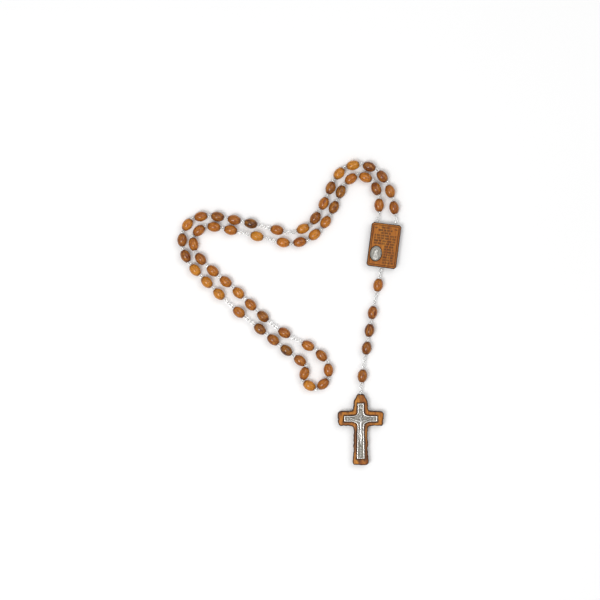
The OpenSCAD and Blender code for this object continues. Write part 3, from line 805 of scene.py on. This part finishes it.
def build_cross_wood():
    out = cross_line()
    plate = plate_line(0.0, 0.3)

    def near_plate(xy):
        d = distance_to(plate, xy)
        return np.where(inside(plate, xy[:, 0], xy[:, 1]), -d, d)

    def height(xy, far):
        z = np.full(len(xy), cr_z1)
        soft = 1.5
        z -= 0.9 * (1 - np.sqrt(np.clip(1 - (1 - np.clip(far / soft, 0, 1)) ** 2, 0, 1)))
        z -= 0.10 * (0.5 + 0.5 * waves(xy[:, 0] * 0.9 + xy[:, 1] * 0.12, 41, 8, 0.5, 2.4))
        d = near_plate(xy)
        z -= 0.22 * smoothstep(0.9, 0.15, d) * (d > -0.2)
        bed = smoothstep(0.05, -0.12, d)
        return z * (1 - bed) + np.minimum(z, bed_z - 0.02) * bed

    verts, faces, far = relief(out, 0.17, height, cr_z0, chamfer=0.5)
    xy = verts[:, :2]
    top = verts[:, 2] > cr_z1 - 1.6
    char_and_shade = np.where(top, 1.0 * smoothstep(1.15 + 0.45 * waves(xy[:, 1] * 1.4 + xy[:, 0], 23), 0.25, far), 0.7)
    # Painted shadow: a dark band round the metal plate, partly the burnt outline of its recess and partly
    # shade painted where the plate's shadow falls.
    d = near_plate(xy)
    char_and_shade = np.maximum(char_and_shade, 0.95 * smoothstep(1.7, 0.2, d + 0.3 * waves(xy[:, 1] * 1.2 + xy[:, 0], 8)) * top)
    mottle = waves(xy[:, 0] * 1.5 + xy[:, 1] * 0.35, 19) + 0.7 * waves(xy[:, 1] * 0.8 - xy[:, 0] * 0.3, 57)
    char_and_shade = np.maximum(char_and_shade, 0.72 * smoothstep(0.0, 0.8, mottle) * top)
    obj = new_piece("cross_carved", to_world(verts, cr_c, cr_a), faces, CROSS_WOOD, True,
                    {"at": verts.copy(), "char_and_shade": np.clip(char_and_shade, 0, 1)})
    place(obj, "cross_wood")


build_cross_wood()


# ---------------------------------------------------------------- crucifix

def rosette(xy, cx, cy, r):
    """A four-petal ornament, 0..1."""
    dx, dy = xy[:, 0] - cx, xy[:, 1] - cy
    d, a = np.hypot(dx, dy), np.arctan2(dy, dx)
    petal = r * (0.55 + 0.45 * np.cos(4 * a))
    return np.maximum(smoothstep(petal + 0.1, petal - 0.1, d), smoothstep(0.28, 0.16, d))


def build_plate():
    out = plate_line()
    rim, field = 0.78, 0.36

    def parts(xy, far):
        edge = np.sqrt(np.clip(1 - ((np.clip(far, 0, rim) - rim / 2) / (rim / 2)) ** 2 * 0.8, 0, 1))
        inner = smoothstep(rim - 0.05, rim + 0.12, far)
        orn = np.zeros(len(xy))
        for cx, cy in ((-pl_w * 0.395, p_mid), (pl_w * 0.395, p_mid), (-pl_w * 0.30, p_mid),
                       (pl_w * 0.30, p_mid)):
            orn = np.maximum(orn, rosette(xy, cx, cy, 0.95))
        for k in range(4):
            orn = np.maximum(orn, rosette(xy, 0, pl_hi[1] - 1.9 - 1.75 * k, 0.8) * (k != 1))
        for k in range(4):
            orn = np.maximum(orn, rosette(xy, 0, pl_lo[1] + 2.0 + 1.7 * k, 0.85))
        a = np.arctan2(xy[:, 1] - p_mid, xy[:, 0])
        ray = (0.5 + 0.5 * np.cos(a * 24)) * smoothstep(4.6, 3.0, np.hypot(xy[:, 0], xy[:, 1] - p_mid))
        return edge, inner, np.maximum(orn, 0.55 * ray)

    def height(xy, far):
        edge, inner, orn = parts(xy, far)
        rim_z = pl_z1 - 0.28 + 0.28 * edge
        field_z = pl_z1 - field + 0.15 * orn
        return rim_z * (1 - inner) + field_z * inner

    verts, faces, far = relief(out, 0.12, height, bed_z)
    edge, inner, orn = parts(verts[:, :2], far)
    n_top = len(verts) // 2
    dirt = inner * (0.56 - 0.36 * orn) + (1 - inner) * 0.15 * (1 - edge)
    dirt[n_top:] = 0.6
    obj = new_piece("crucifix_cast", to_world(verts, cr_c, cr_a), faces, SILVER, True,
                    {"at": verts.copy(), "dirt": np.clip(dirt, 0, 1)})
    place(obj, "crucifix_plate")


build_plate()


# ---------------------------------------------------------------- figure

corpus_pts = local_xy("corpus", cr_c, cr_a)
co_lo, co_hi = corpus_pts.min(0), corpus_pts.max(0)


def capsule(a, b, r1, r2, segments=14, rings=5):
    """A tapered limb with round ends."""
    a, b = np.array(a, float), np.array(b, float)
    d = b - a
    length = np.linalg.norm(d)
    d /= length
    side = np.cross(d, [0.13, 0.21, 0.97])
    side /= np.linalg.norm(side)
    up = np.cross(d, side)
    profile = []
    for k in range(rings + 1):
        t = math.pi / 2 * k / rings
        profile.append((-r1 * math.cos(t), r1 * math.sin(t)))
    for k in range(rings + 1):
        t = math.pi / 2 * k / rings
        profile.append((length + r2 * math.sin(t), r2 * math.cos(t)))
    verts = []
    for x, r in profile:
        for j in range(segments):
            t = 2 * math.pi * j / segments
            verts.append(a + d * x + (side * math.cos(t) + up * math.sin(t)) * max(r, 1e-3))
    faces = []
    for i in range(len(profile) - 1):
        for j in range(segments):
            k = (j + 1) % segments
            faces.append((i * segments + j, i * segments + k, (i + 1) * segments + k, (i + 1) * segments + j))
    faces.append(tuple(reversed(range(segments))))
    faces.append(tuple((len(profile) - 1) * segments + j for j in range(segments)))
    return verts, faces


def lump(c, r, turn=0.0, segments=16, rings=10):
    """An ellipsoid, turned about z."""
    verts, faces = [], []
    cs, sn = math.cos(turn), math.sin(turn)
    for i in range(1, rings):
        t = math.pi * i / rings
        for j in range(segments):
            a = 2 * math.pi * j / segments
            x, y, z = r[0] * math.sin(t) * math.cos(a), r[1] * math.sin(t) * math.sin(a), r[2] * math.cos(t)
            verts.append((c[0] + x * cs - y * sn, c[1] + x * sn + y * cs, c[2] + z))
    for i in range(rings - 2):
        for j in range(segments):
            k = (j + 1) % segments
            faces.append((i * segments + j, (i + 1) * segments + j, (i + 1) * segments + k, i * segments + k))
    faces.append(tuple(range(segments)))
    faces.append(tuple(reversed([(rings - 2) * segments + j for j in range(segments)])))
    return verts, faces


def melt(name, shells, voxel):
    """One skin over several overlapping shells."""
    verts, faces = [], []
    for v, f in shells:
        faces += [tuple(i + len(verts) for i in face) for face in f]
        verts += [tuple(p) for p in v]
    obj = new_piece(name, verts, faces, SILVER)
    remesh = obj.modifiers.new("melt", "REMESH")
    remesh.mode = "VOXEL"
    remesh.voxel_size = voxel * MM
    soft = obj.modifiers.new("soft", "SMOOTH")
    soft.factor = 0.5
    soft.iterations = 2
    graph = bpy.context.evaluated_depsgraph_get()
    mesh = bpy.data.meshes.new_from_object(obj.evaluated_get(graph))
    obj.modifiers.clear()
    obj.data = mesh
    mesh.polygons.foreach_set("use_smooth", [True] * len(mesh.polygons))
    return obj


def build_corpus():
    """A generic figure with its arms spread, on textbook proportions."""
    z0 = co_lo[2]
    head = corpus_pts[corpus_pts[:, 1] > co_hi[1] - 1.2]
    hx, hy = (head[:, 0].min() + head[:, 0].max()) / 2, co_hi[1] - 1.35
    hz = z0 + 1.25
    sy = hy - 2.3
    feet = co_lo[1] + 0.3
    hip = sy - (sy - feet) * 0.40
    knee = sy - (sy - feet) * 0.68
    span = co_hi[0] - 0.3
    hand_y = p_mid + 0.75
    s = [
        lump((hx, hy, hz), (0.80, 1.08, 0.86)),
        lump((hx - 0.02, hy + 0.35, hz - 0.12), (0.98, 0.98, 0.86)),
        capsule((hx - 0.72, hy + 0.2, hz - 0.25), (hx - 0.95, hy - 1.5, hz - 0.45), 0.36, 0.30),
        capsule((hx + 0.72, hy + 0.2, hz - 0.25), (hx + 0.85, hy - 1.4, hz - 0.45), 0.36, 0.30),
        lump((hx, hy - 0.72, hz + 0.12), (0.46, 0.46, 0.62)),
        capsule((hx, hy + 0.05, hz + 0.80), (hx, hy - 0.28, hz + 0.93), 0.10, 0.13),
        capsule((hx - 0.42, hy + 0.18, hz + 0.68), (hx + 0.42, hy + 0.18, hz + 0.68), 0.13, 0.13),
        capsule((hx, hy - 0.9, hz - 0.3), (0, sy + 0.2, z0 + 1.0), 0.52, 0.62),
        lump((0, sy - 0.9, z0 + 0.95), (1.45, 1.35, 0.85)),
        lump((-0.62, sy - 0.7, z0 + 1.35), (0.66, 0.55, 0.45)),
        lump((0.62, sy - 0.7, z0 + 1.35), (0.66, 0.55, 0.45)),
        capsule((0, sy - 1.2, z0 + 0.95), (0, hip + 0.9, z0 + 0.9), 1.05, 0.78),
        lump((0, hip, z0 + 0.95), (1.22, 1.25, 0.98)),
        capsule((-0.95, hip + 0.55, z0 + 1.05), (0.95, hip + 0.15, z0 + 1.3), 0.32, 0.36),
        capsule((0.95, hip + 0.3, z0 + 1.1), (1.12, hip - 1.7, z0 + 0.7), 0.36, 0.22),
        lump((0.0, hip - 1.15, z0 + 1.1), (0.85, 1.05, 0.75)),
        capsule((-0.48, hip - 0.6, z0 + 0.95), (-0.55, knee, z0 + 1.15), 0.68, 0.48),
        capsule((0.48, hip - 0.6, z0 + 0.95), (0.50, knee, z0 + 1.2), 0.68, 0.48),
        capsule((-0.55, knee, z0 + 1.1), (-0.22, feet + 1.4, z0 + 0.6), 0.50, 0.30),
        capsule((0.50, knee, z0 + 1.15), (0.16, feet + 1.4, z0 + 0.75), 0.50, 0.30),
        capsule((-0.22, feet + 1.4, z0 + 0.6), (-0.05, feet + 0.25, z0 + 0.55), 0.32, 0.26),
        capsule((0.16, feet + 1.4, z0 + 0.8), (0.08, feet + 0.3, z0 + 0.8), 0.32, 0.27),
    ]
    for side in (-1, 1):
        shoulder = (side * 1.25, sy - 0.45, z0 + 0.9)
        elbow = (side * span * 0.55, (sy + hand_y) / 2 - 0.55, z0 + 0.62)
        wrist = (side * (span - 0.75), hand_y - 0.08, z0 + 0.45)
        s += [
            lump((side * 1.2, sy - 0.42, z0 + 0.95), (0.6, 0.55, 0.5)),
            capsule(shoulder, elbow, 0.52, 0.38),
            capsule(elbow, wrist, 0.40, 0.25),
            lump((side * (span - 0.35), hand_y, z0 + 0.42), (0.48, 0.34, 0.24)),
            capsule((side * (span - 0.2), hand_y + 0.05, z0 + 0.4),
                    (side * (span + 0.08), hand_y + 0.12, z0 + 0.36), 0.14, 0.10),
        ]
    obj = melt("corpus_cast", s, 0.085)
    co = np.empty(len(obj.data.vertices) * 3, np.float32)
    obj.data.vertices.foreach_get("co", co)
    co = co.reshape(-1, 3) / MM
    co[:, 2] = np.maximum(co[:, 2], z0)
    rel = np.clip((co[:, 2] - z0) / 1.5, 0, 1)
    dirt = 0.75 * (1 - rel) ** 1.7
    for key, values in (("dirt", dirt), ("at", co)):
        kind = "FLOAT_VECTOR" if values.ndim == 2 else "FLOAT"
        layer = obj.data.attributes.new(key, kind, "POINT")
        layer.data.foreach_set("vector" if values.ndim == 2 else "value", values.astype(np.float32).ravel())
    world = to_world(co, cr_c, cr_a) * MM
    obj.data.vertices.foreach_set("co", world.astype(np.float32).ravel())
    obj.data.update()
    place(obj, "corpus")


build_corpus()


def build_scroll():
    """A blank scroll with curled ends."""
    pts = local_xy("title_scroll", cr_c, cr_a)
    lo, hi = pts.min(0), pts.max(0)
    nx, ny = 40, 10
    verts, dirt = [], []
    for side in (0, 1):
        for i in range(nx + 1):
            u = i / nx
            x = lo[0] + (hi[0] - lo[0]) * u
            curl = smoothstep(0.78, 1.0, np.array(abs(2 * u - 1))) * 0.30
            for j in range(ny + 1):
                v = j / ny
                wave = 0.10 * math.sin(u * 2 * math.pi)
                y = lo[1] + (hi[1] - lo[1]) * (0.12 + 0.76 * v) + wave
                z = lo[2] + 0.27 + curl if side else lo[2]
                z -= 0.05 * smoothstep(0.7, 1.0, np.array(abs(2 * v - 1))) * side
                verts.append((x, y, float(z)))
                dirt.append(0.65 if not side else 0.15 + 0.5 * abs(2 * v - 1) ** 3)
    per = (nx + 1) * (ny + 1)
    faces = []
    for i in range(nx):
        for j in range(ny):
            a, b = i * (ny + 1) + j, (i + 1) * (ny + 1) + j
            c, d = b + 1, a + 1
            faces.append((per + a, per + b, per + c, per + d))
            faces.append((d, c, b, a))
    border = [i * (ny + 1) for i in range(nx + 1)] + [nx * (ny + 1) + j for j in range(1, ny + 1)]
    border += [i * (ny + 1) + ny for i in reversed(range(nx))] + [j for j in reversed(range(1, ny))]
    for k, a in enumerate(border):
        b = border[(k + 1) % len(border)]
        faces.append((a, b, per + b, per + a))
    obj = new_piece("title_scroll_cast", to_world(verts, cr_c, cr_a), faces, SILVER, True,
                    {"at": np.array(verts), "dirt": np.array(dirt)})
    place(obj, "title_scroll")


build_scroll()


# ---------------------------------------------------------------- floor, lights, camera

def look_at(obj, target):
    obj.rotation_euler = (Vector(target) - obj.location).to_track_quat("-Z", "Y").to_euler()


FLOOR_SIZE = 6
FLOOR_GAP = 0.00002
SKY_STRENGTH = 0.80
SKY_STOPS = ((0.0, 0.16), (0.9, 1.0))
VIEW_WIDTH = 0.396
VIEW_HEIGHT = 1.2
STRAND_TOP = 0.0033
VIEW_FROM_TABLET = (-55.4, -35.9)

low, high = (Vector(v) for v in START)
middle = (low + high) / 2

floor_mat = Nodes("floor")
floor_at = floor_mat.add("ShaderNodeTexCoord").outputs["Object"]
floor_tone = floor_mat.ramp(floor_mat.noise(floor_at, 3.0, 2.0), [(0.3, grey(0.92)), (0.7, grey(0.935))])
floor_mat.set(Base_Color=floor_tone, Roughness=0.9, Specular_IOR_Level=0.1)
bpy.ops.mesh.primitive_plane_add(size=FLOOR_SIZE, location=(middle.x, middle.y, low.z - FLOOR_GAP))
floor = bpy.context.object
floor.name = "floor"
floor.data.materials.append(floor_mat.material)

world = bpy.data.worlds.new("studio")
bpy.context.scene.world = world
world.use_nodes = True
sky = world.node_tree
direction = sky.nodes.new("ShaderNodeTexCoord")
axes = sky.nodes.new("ShaderNodeSeparateXYZ")
shade = sky.nodes.new("ShaderNodeValToRGB")
sky.links.new(direction.outputs["Generated"], axes.inputs[0])
sky.links.new(axes.outputs["Z"], shade.inputs[0])
sky.links.new(shade.outputs[0], sky.nodes["Background"].inputs[0])
for stop, (height_up, value) in zip(shade.color_ramp.elements, SKY_STOPS):
    stop.position = height_up
    stop.color = (value, value, value, 1)
sky.nodes["Background"].inputs[1].default_value = SKY_STRENGTH


def area(name, offset, size, power):
    """A square or oblong light that looks at the middle of the rosary."""
    data = bpy.data.lights.new(name, "AREA")
    data.shape = "RECTANGLE"
    data.size, data.size_y = size
    data.energy = power
    obj = bpy.data.objects.new(name, data)
    bpy.context.scene.collection.objects.link(obj)
    obj.location = middle + Vector(offset)
    look_at(obj, middle)
    return obj


area("key", (-0.35, -0.30, 1.00), (0.42, 0.42), 5.2)
area("fill", (0.55, 0.45, 0.95), (0.8, 0.6), 2.6)

view_centre = Vector((tab_c[0] + VIEW_FROM_TABLET[0], tab_c[1] + VIEW_FROM_TABLET[1], 0)) * MM
camera_data = bpy.data.cameras.new("camera")
camera = bpy.data.objects.new("camera", camera_data)
bpy.context.scene.collection.objects.link(camera)
camera.location = view_centre + Vector((0, 0, VIEW_HEIGHT))
camera_data.sensor_width = 36
camera_data.lens = camera_data.sensor_width * (VIEW_HEIGHT - STRAND_TOP) / VIEW_WIDTH
camera_data.clip_start = 0.01
bpy.context.scene.camera = camera
bpy.context.scene.view_settings.view_transform = "Standard"
